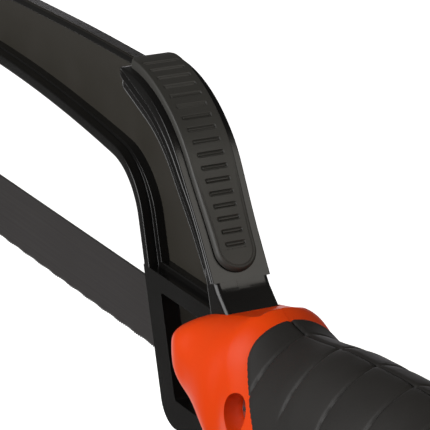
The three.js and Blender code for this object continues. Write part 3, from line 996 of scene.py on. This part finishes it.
def make_screw(name, node, x, z):
    """Pan-head screw with a cross recess."""
    seat = SCREW_SEAT_Y + 0.05
    head = [(seat, 1.8), (seat, 3.2), (seat + 0.5, 3.3)]
    for k in range(7):
        angle = math.pi / 2 * k / 6
        head.append((seat + 0.9 + 1.2 * math.sin(angle), 3.3 - 1.5 * (1 - math.cos(angle)) - 0.1 * k / 6))
    profile = [(-8.4, 0), (-8.4, 1.3), (-7.9, 1.8)] + head + [(seat + 2.25, 0)]
    screw = revolve(name, profile, (x, 0, z), axis="y")
    for long_way in (True, False):
        reach, thin = (2.1, 0.42) if long_way else (0.42, 2.1)
        slot = block("slot", (x - reach, x + reach), (seat + 1.0, seat + 4), (z - thin, z + thin))
        cut(screw, slot)
    return place(screw, node, ZINC, angle=28)


for which, (screw_x, screw_z) in SCREWS.items():
    make_screw("screw_" + which, "handle_screw_" + which, screw_x, screw_z)

# ---------------------------------------------------------------- blade


def make_blade():
    """A strip with fine teeth in a wavy set, rounded ends and a hole at each end."""
    pitch = 0.79
    tooth = 0.3
    teeth_a_wave = 9
    half = (blade_high.y - blade_low.y) / 2 - 0.02
    corner = 3.0
    first, last = REAR_HOLE_X + 9, FRONT_HOLE_X - 9
    count = int((last - first) / pitch)
    columns = []
    ends = corner * (1 - np.cos(np.linspace(0, math.pi / 2, 9)))
    for x in blade_low.x + ends:
        columns.append((x, 0, 0))
    for k in range(count):
        x = first + k * pitch
        wave = 0.13 * math.sin(2 * math.pi * k / teeth_a_wave)
        columns.append((x, 0, wave))
        columns.append((x + 0.62 * pitch, tooth, wave * 0.3))
    for x in blade_high.x - ends[::-1]:
        columns.append((x, 0, 0))
    rings = []
    for x, raised, wave in columns:
        inside = min(x - blade_low.x, blade_high.x - x, corner)
        trim = corner - math.sqrt(max(0.0, corner**2 - (corner - inside) ** 2))
        low, high = blade_low.z + trim + raised, blade_high.z - trim
        low, high = min(low, BLADE_MIDDLE_Z - 0.1), max(high, BLADE_MIDDLE_Z + 0.1)
        middle = max(blade_low.z + 0.9, low + 0.05)
        rings.append([
            (x, wave - half * 0.9, low), (x, wave + half * 0.9, low), (x, half, middle),
            (x, half, high - 0.06), (x, half - 0.06, high), (x, 0.06 - half, high),
            (x, -half, high - 0.06), (x, -half, middle),
        ])
    blade = skin("blade_toothed", rings)
    for x in (REAR_HOLE_X, FRONT_HOLE_X):
        profile = [(-2, 0), (-2, BLADE_HOLE_RADIUS), (2, BLADE_HOLE_RADIUS), (2, 0)]
        cut(blade, revolve("hole", profile, (x, 0, BLADE_MIDDLE_Z), axis="y"))
    return place(blade, "blade", LACQUER, angle=25)


make_blade()


def make_pin(name, node, x):
    """A blade pin with a domed end on the right side."""
    low, high = mm_box(node)
    radius = (high.x - low.x) / 2
    profile = [(high.y, 0), (high.y, radius)]
    for k in range(7):
        angle = math.pi / 2 * k / 6
        profile.append((low.y + 0.5 * (1 - math.sin(angle)), radius - 0.5 * (1 - math.cos(angle))))
    profile.append((low.y, 0))
    pin = revolve(name, profile, (x, 0, BLADE_MIDDLE_Z), axis="y", sides=40)
    return place(pin, node, ZINC, angle=40)


make_pin("pin_rear", "rear_blade_pin", REAR_HOLE_X - PIN_SLACK)
make_pin("pin_front", "front_blade_pin", FRONT_HOLE_X + PIN_SLACK)

# ---------------------------------------------------------------- tensioner

THREAD_RADIUS = 3.0
THREAD_PITCH = 1.0


def threaded_rod(name, start, end):
    """A rod along X with a real thread, whose crest winds round it once each pitch."""
    sides = 36
    rings = []
    for x in np.arange(start, end + 0.001, THREAD_PITCH / 8):
        taper = max(0.0, 1 - (end - x) / 0.8) * 0.5
        ring = []
        for k in range(sides):
            phase = (x / THREAD_PITCH - k / sides) % 1.0
            radius = THREAD_RADIUS - 0.62 * abs(2 * phase - 1) ** 1.2 * 0.95 - taper
            angle = 2 * math.pi * k / sides
            ring.append((x, radius * math.cos(angle), BLADE_MIDDLE_Z + radius * math.sin(angle)))
        rings.append(ring)
    return skin(name, rings)


def make_stud():
    """A square shank with a flat tongue behind it and a threaded end in front."""
    side = 3.5
    shank_start = FRONT_HOLE_X + 8.2
    thread_start = LUG_FRONT_X - 1
    tongue = plate("stud_threaded", rounded_run([
        (stud_low.x, BLADE_MIDDLE_Z - 5, 3),
        (shank_start + 0.4, BLADE_MIDDLE_Z - 5, 1),
        (shank_start + 0.4, BLADE_MIDDLE_Z + 5, 1),
        (stud_low.x, BLADE_MIDDLE_Z + 5, 3),
    ], closed=True), 0.65, side)
    bevel(tongue, 0.35)
    shank = block("shank", (shank_start, thread_start), (-side, side),
                  (BLADE_MIDDLE_Z - side, BLADE_MIDDLE_Z + side))
    rod = threaded_rod("rod", thread_start - 1, stud_high.x)
    combine(tongue, [bevel(shank, 0.5), rod])
    clip_x = (clip_low.x + clip_high.x) / 2
    groove = revolve("groove", [(-0.55, 2.25), (-0.55, 5), (0.55, 5), (0.55, 2.25)],
                     (clip_x, 0, BLADE_MIDDLE_Z))
    cut(tongue, groove)
    return place(tongue, "tension_stud", ZINC, angle=28)


def make_bush():
    outer = (bush_high.y - bush_low.y) / 2
    inner = 3.6
    sleeve = block("bush_square", (bush_low.x, bush_high.x), (-outer, outer),
                   (BLADE_MIDDLE_Z - outer, BLADE_MIDDLE_Z + outer))
    bevel(sleeve, 0.4)
    bore = block("bore", (bush_low.x - 2, bush_high.x + 2), (-inner, inner),
                 (BLADE_MIDDLE_Z - inner, BLADE_MIDDLE_Z + inner))
    cut(sleeve, bore)
    return place(sleeve, "stud_bush", ZINC)


def make_washer():
    outer = (washer_high.y - washer_low.y) / 2
    inner = THREAD_RADIUS + 0.2
    x0, x1 = washer_low.x, washer_high.x
    profile = [(x0, inner), (x0, outer - 0.3), (x0 + 0.25, outer), (x1 - 0.25, outer),
               (x1, outer - 0.3), (x1, inner + 0.2), (x1 - 0.2, inner)]
    washer = revolve("washer_turned", profile, (0, 0, BLADE_MIDDLE_Z), sides=64)
    return place(washer, "thrust_washer", ZINC, angle=50)


# From the hub out: height above the axis, rear and front edges ahead of the seat, half-thickness.
WING_SECTIONS = [
    (1.5, 1.6, 8.8, 1.5),
    (5, 1.8, 9.2, 1.4),
    (9, 2.6, 10.6, 1.35),
    (12, 4.0, 12.2, 1.45),
    (14.0, 5.6, 12.6, 1.35),
    (14.8, 7.0, 12.0, 0.9),
    (15.0, 8.2, 11.0, 0.4),
]


def make_wing_nut():
    """A cast hub whose two wings sweep forward and swell towards their tips."""
    seat = nut_low.x
    hub_profile = [(0, 0), (0, 6.2), (0.35, 6.5), (2.6, 6.5), (3.4, 6.1), (8.6, 5.1), (9.6, 4.9),
                   (10, 4.5), (10, 0)]
    nut = revolve("wing_nut_cast", hub_profile, (seat, 0, BLADE_MIDDLE_Z), sides=64)
    for way in (1, -1):
        rings = []
        for height, rear, front, half in smooth_rows(WING_SECTIONS, 0.5):
            ring = []
            for k in range(40):
                angle = 2 * math.pi * k / 40
                c, s = math.cos(angle), math.sin(angle)
                across = math.copysign(abs(s) ** 0.8, s)
                ring.append((seat + (rear + front) / 2 + (front - rear) / 2 * c, half * across,
                             BLADE_MIDDLE_Z + way * height))
            rings.append(ring)
        combine(nut, [skin("wing", rings)])
    bore = revolve("bore", [(-2, 0), (-2, 3.15), (14, 3.15), (14, 0)], (seat, 0, BLADE_MIDDLE_Z))
    cut(nut, bore)
    return place(nut, "wing_nut", ZINC)


def make_clip():
    """An E-clip: a thin ring with an open mouth."""
    x0, x1 = clip_low.x, clip_high.x
    outer, inner = 4.6, 2.35
    clip = revolve("stop_clip", [(x0, inner), (x0, outer), (x1, outer), (x1, inner)],
                   (0, 0, BLADE_MIDDLE_Z), sides=64)
    mouth = block("mouth", (x0 - 1, x1 + 1), (-1.6, 1.6), (BLADE_MIDDLE_Z - 6, BLADE_MIDDLE_Z))
    cut(clip, mouth)
    bevel(clip, 0.12, segments=2)
    return place(clip, "stud_stop_clip", ZINC)


make_stud()
make_bush()
make_washer()
make_wing_nut()
make_clip()

# ---------------------------------------------------------------- stage, light and camera


def make_floor():
    """A pale floor that casts nothing on the saw and stays out of the paint's reflections."""
    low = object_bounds()[0][2]
    mesh = bpy.data.meshes.new("floor")
    reach = 6.0
    corners = [(-reach, -reach, low), (reach, -reach, low), (reach, reach, low), (-reach, reach, low)]
    mesh.from_pydata(corners, [], [(0, 1, 2, 3)])
    floor = bpy.data.objects.new("floor", mesh)
    bpy.context.scene.collection.objects.link(floor)
    material, _ = new_material(
        "floor_white", Base_Color=(0.9, 0.9, 0.9, 1), Roughness=1.0, Specular_IOR_Level=0.0,
        Emission_Color=(1, 1, 1, 1), Emission_Strength=0.9)
    floor.data.materials.append(material)
    floor.visible_glossy = False
    floor.visible_diffuse = False
    floor.visible_shadow = False


def make_world(ceiling, ahead, below):
    """A dim studio round the softboxes: grey levels straight up, at the horizon and straight down."""
    world = bpy.data.worlds.new("studio")
    bpy.context.scene.world = world
    world.use_nodes = True
    nodes, links = world.node_tree.nodes, world.node_tree.links
    coordinate = nodes.new("ShaderNodeTexCoord")
    split = nodes.new("ShaderNodeSeparateXYZ")
    height = nodes.new("ShaderNodeMapRange")
    ramp = nodes.new("ShaderNodeValToRGB")
    height.inputs["From Min"].default_value = -1
    links.new(coordinate.outputs["Generated"], split.inputs["Vector"])
    links.new(split.outputs["Z"], height.inputs["Value"])
    links.new(height.outputs["Result"], ramp.inputs["Fac"])
    ramp.color_ramp.elements.new(0.5)
    for element, place_at, value in zip(ramp.color_ramp.elements, (0, 0.5, 1), (below, ahead, ceiling)):
        element.position = place_at
        element.color = (value, value * 0.985, value * 0.95, 1)
    links.new(ramp.outputs["Color"], nodes["Background"].inputs["Color"])


def add_softbox(name, direction, half_angle, radiance, colour=(1, 1, 1)):
    """A round softbox that the object sees in a direction, as wide as twice a half-angle in degrees."""
    distance = 0.9
    diameter = 2 * distance * math.tan(math.radians(half_angle))
    light = bpy.data.lights.new(name, "AREA")
    light.shape = "DISK"
    light.size = diameter
    light.energy = radiance * math.pi * math.pi * diameter**2 / 4
    light.color = colour
    obj = bpy.data.objects.new(name, light)
    bpy.context.scene.collection.objects.link(obj)
    towards = Vector(direction).normalized()
    obj.location = Vector((0, 0, 0.035)) + towards * distance
    obj.rotation_euler = towards.to_track_quat("Z", "Y").to_euler()


VIEW_DIRECTION = Vector((0.84063, -0.43486, -0.32284))
VIEW_TARGET = Vector((0.0321, -0.0139, 0.0311))
VIEW_DISTANCE = 0.583
LENS_MM = 267.9


def make_camera():
    camera = bpy.data.cameras.new("camera")
    camera.lens = LENS_MM
    camera.sensor_width = 36
    camera.clip_start = 0.01
    camera.clip_end = 50
    obj = bpy.data.objects.new("camera", camera)
    bpy.context.scene.collection.objects.link(obj)
    right = VIEW_DIRECTION.cross(Vector((0, 0, 1))).normalized()
    up = right.cross(VIEW_DIRECTION)
    turn = Matrix((right, up, -VIEW_DIRECTION)).transposed()
    obj.matrix_world = Matrix.Translation(VIEW_TARGET - VIEW_DIRECTION * VIEW_DISTANCE) @ turn.to_4x4()
    bpy.context.scene.camera = obj


make_floor()
make_world(0.07, 0.10, 0.06)
add_softbox("left", (-0.05, 0.95, 0.30), 27, 4.3)
add_softbox("behind", (-0.70, -0.42, 0.57), 21, 1.9, (1, 0.96, 0.88))
add_softbox("ahead", (0.88, -0.44, -0.12), 16, 1.3, (0.98, 0.95, 1))
add_softbox("low_ahead", (0.88, -0.10, -0.42), 18, 0.8)
make_camera()
bpy.context.scene.view_settings.view_transform = "Standard"
